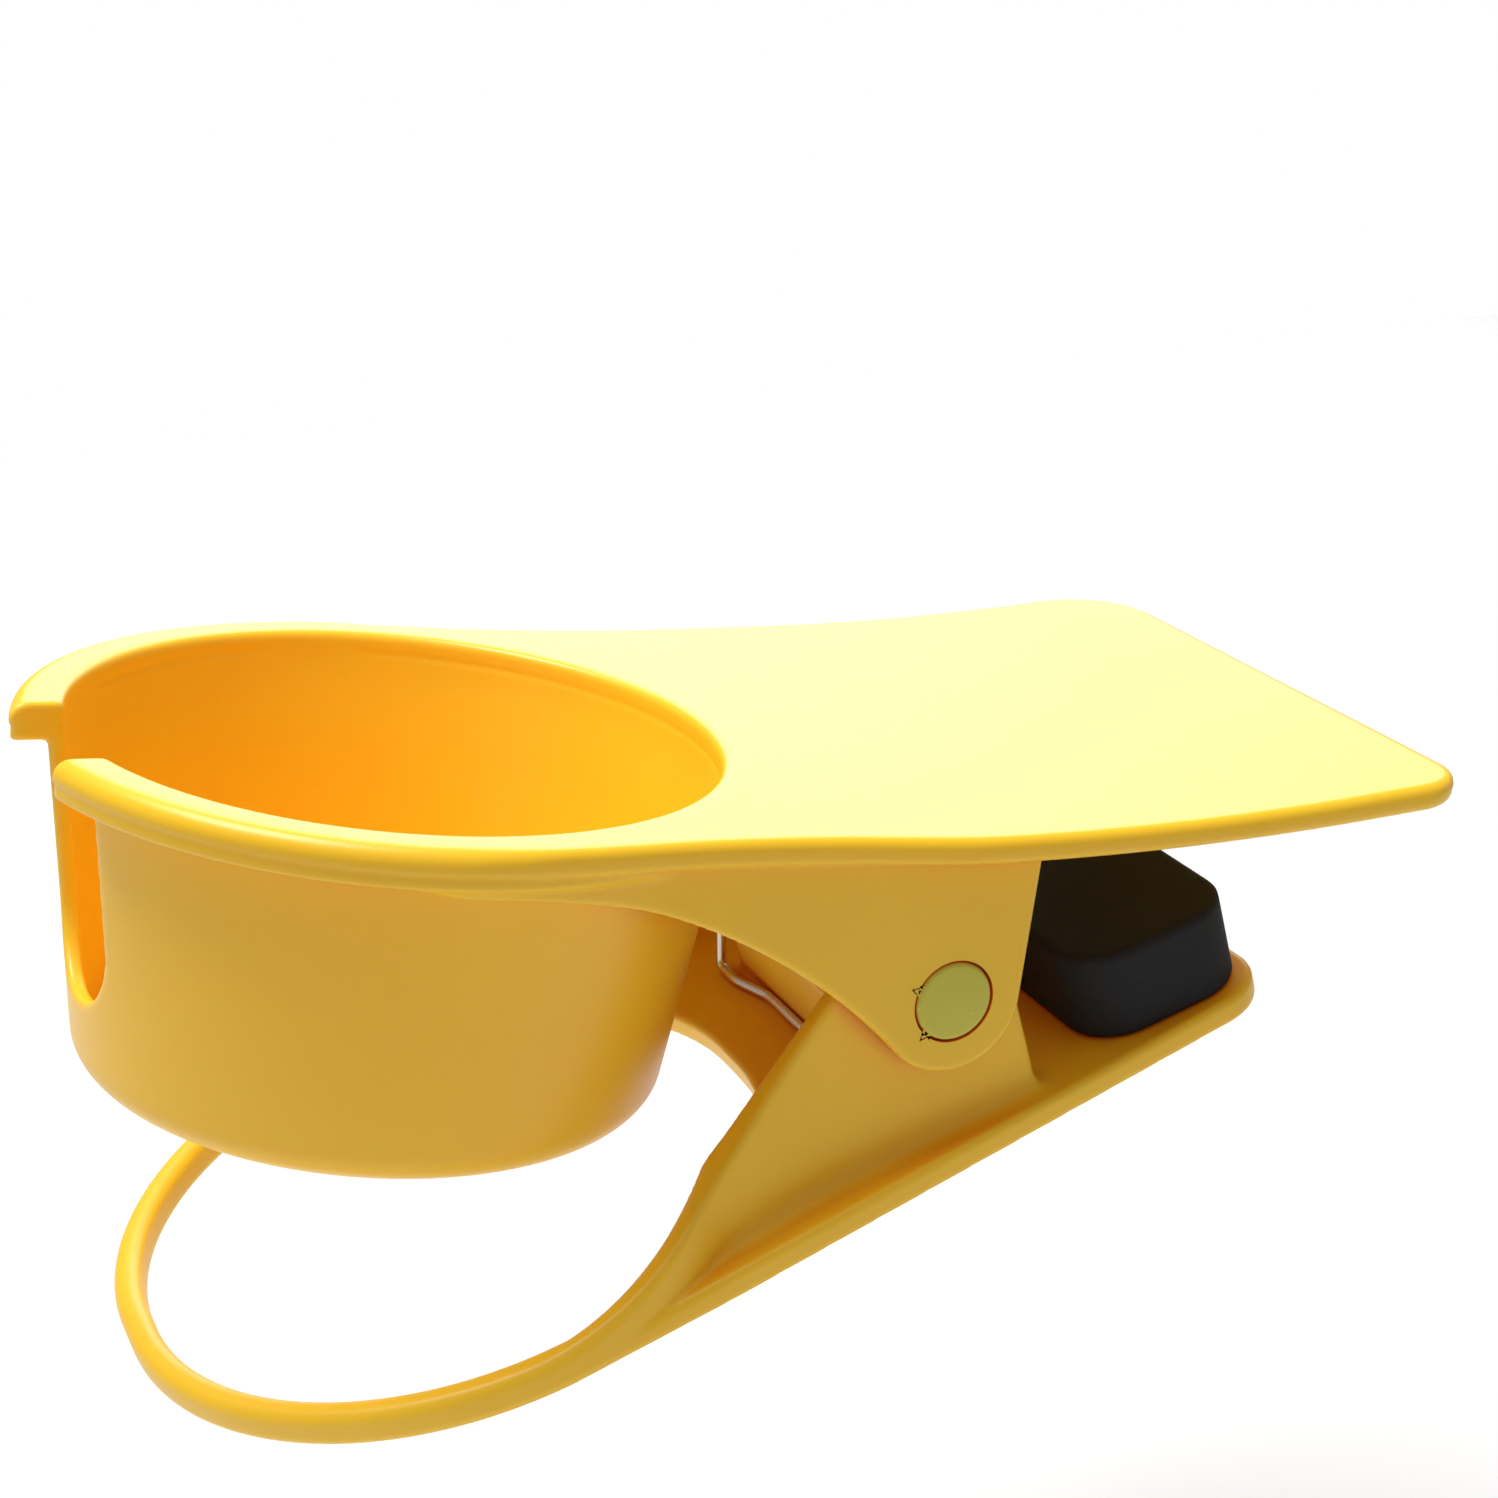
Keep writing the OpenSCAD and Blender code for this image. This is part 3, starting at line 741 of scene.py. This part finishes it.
def rubber(name):
    m, nodes, links, shader = material(name)
    place = node(nodes, "ShaderNodeTexCoord")
    grain = node(nodes, "ShaderNodeTexNoise", Scale=700.0, Detail=5.0, Roughness=0.65)
    links.new(place.outputs["Object"], grain.inputs["Vector"])
    mix = node(nodes, "ShaderNodeMix", data_type="RGBA")
    mix.inputs["A"].default_value = (0.010, 0.010, 0.011, 1)
    mix.inputs["B"].default_value = (0.026, 0.026, 0.027, 1)
    links.new(grain.outputs["Fac"], mix.inputs["Factor"])
    links.new(mix.outputs["Result"], shader.inputs["Base Color"])
    gloss = node(nodes, "ShaderNodeMapRange")
    gloss.inputs["To Min"].default_value = 0.7
    gloss.inputs["To Max"].default_value = 0.9
    shader.inputs["Specular IOR Level"].default_value = 0.25
    links.new(grain.outputs["Fac"], gloss.inputs["Value"])
    links.new(gloss.outputs["Result"], shader.inputs["Roughness"])
    bump = node(nodes, "ShaderNodeBump", Strength=0.35, Distance=0.0001)
    links.new(grain.outputs["Fac"], bump.inputs["Height"])
    links.new(bump.outputs["Normal"], shader.inputs["Normal"])
    return m


def floor_material():
    m, nodes, links, shader = material("floor")
    place = node(nodes, "ShaderNodeTexCoord")
    drift = node(nodes, "ShaderNodeTexNoise", Scale=3.0, Detail=2.0)
    links.new(place.outputs["Object"], drift.inputs["Vector"])
    mix = node(nodes, "ShaderNodeMix", data_type="RGBA")
    mix.inputs["A"].default_value = (0.78, 0.78, 0.78, 1)
    mix.inputs["B"].default_value = (0.82, 0.82, 0.82, 1)
    links.new(drift.outputs["Fac"], mix.inputs["Factor"])
    links.new(mix.outputs["Result"], shader.inputs["Base Color"])
    shader.inputs["Roughness"].default_value = 0.9
    return m


# ---- stage ----
def area_light(name, place, size, power):
    """A round light aimed at the middle of the part, and not seen by the camera."""
    data = bpy.data.lights.new(name, "AREA")
    data.shape = "DISK"
    data.size = size
    data.energy = power
    obj = bpy.data.objects.new(name, data)
    obj.location = place
    obj.rotation_euler = Vector(place).to_track_quat("Z", "Y").to_euler()
    obj.visible_camera = False
    bpy.context.scene.collection.objects.link(obj)


def stage():
    floor_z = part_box("clamp_lever")[0][2] - 0.12
    bpy.ops.mesh.primitive_plane_add(size=2.0, location=(0.0, 0.0, floor_z))
    floor = bpy.context.object
    floor.name = "floor"
    floor.data.materials.append(floor_material())
    world = bpy.data.worlds.new("studio")
    bpy.context.scene.world = world
    world.use_nodes = True
    nodes, links = world.node_tree.nodes, world.node_tree.links
    sky = nodes["Background"]
    sky.inputs["Color"].default_value = (1.0, 1.0, 1.0, 1)
    seen = node(nodes, "ShaderNodeLightPath")
    strength = node(nodes, "ShaderNodeMapRange")
    strength.inputs["To Min"].default_value = 0.34
    strength.inputs["To Max"].default_value = 1.0
    links.new(seen.outputs["Is Camera Ray"], strength.inputs["Value"])
    links.new(strength.outputs["Result"], sky.inputs["Strength"])
    area_light("key", (-0.3, 0.1, 1.0), 0.6, 13.0)
    area_light("back", (0.55, 1.25, 0.62), 1.3, 12.5)
    bpy.context.scene.view_settings.view_transform = "Standard"


def camera():
    """The photograph's view: level, from the well's side and a little above."""
    aim = Vector((-0.0216, 0.0, 0.0042))
    azimuth, elevation, roll = math.radians(-23.95), math.radians(20.15), math.radians(0.08)
    distance = 0.379
    back = Vector((math.sin(azimuth) * math.cos(elevation), -math.cos(azimuth) * math.cos(elevation),
                   math.sin(elevation)))
    right = Vector((math.cos(azimuth), math.sin(azimuth), 0.0))
    up = back.cross(right)
    across = math.cos(roll) * right + math.sin(roll) * up
    above = math.cos(roll) * up - math.sin(roll) * right
    data = bpy.data.cameras.new("camera")
    data.lens = 65.7
    data.sensor_width = 36.0
    data.clip_start = 0.01
    obj = bpy.data.objects.new("camera", data)
    turn = Matrix((across, above, back)).transposed().to_4x4()
    obj.matrix_world = Matrix.Translation(aim + distance * back) @ turn
    bpy.context.scene.collection.objects.link(obj)
    bpy.context.scene.camera = obj


# ---- build ----
def dress(obj, finish, slot, body, *nodes):
    obj.data.materials.clear()
    obj.data.materials.append(finish)
    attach(obj, body)
    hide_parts(*nodes)


camera()
YELLOW = (0.96, 0.585, 0.022)
body_plastic = plastic("body_plastic", YELLOW, (0.94, 0.55, 0.018))
lever_plastic = plastic("lever_plastic", YELLOW, (0.93, 0.54, 0.018), 0.38)
cap_plastic = plastic("cap_plastic", (0.66, 0.58, 0.06), (0.60, 0.53, 0.052), 0.36)
dress(holder_body(), body_plastic, "body_plastic", "holder", "holder_body")
dress(clamp_lever(), lever_plastic, "lever_plastic", "lever", "clamp_lever")
dress(pin_cap("pin_cap_near_head", -1), cap_plastic, "cap_plastic", "holder", "pin_cap_near")
dress(pin_cap("pin_cap_far_head", 1), cap_plastic, "cap_plastic", "holder", "pin_cap_far")
brushed = steel("rod_steel", (0.62, 0.62, 0.63), 0.3, (1, 0.05, 1))
dress(pivot_rod(), brushed, "rod_steel", "holder", "pivot_rod")
dress(jaw_pad(), rubber("pad_rubber"), "pad_rubber", "lever", "jaw_pad")
wire = steel("spring_steel", (0.74, 0.73, 0.72), 0.22, (1, 1, 1))
for side, word in ((-1, "near"), (1, "far")):
    path, end_y = half_spring(side)
    half = tube("torsion_spring_" + word, path, WIRE_R, 16, PIVOT)
    half.data.materials.append(wire)
    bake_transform(half)
    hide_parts("torsion_spring")
stage()
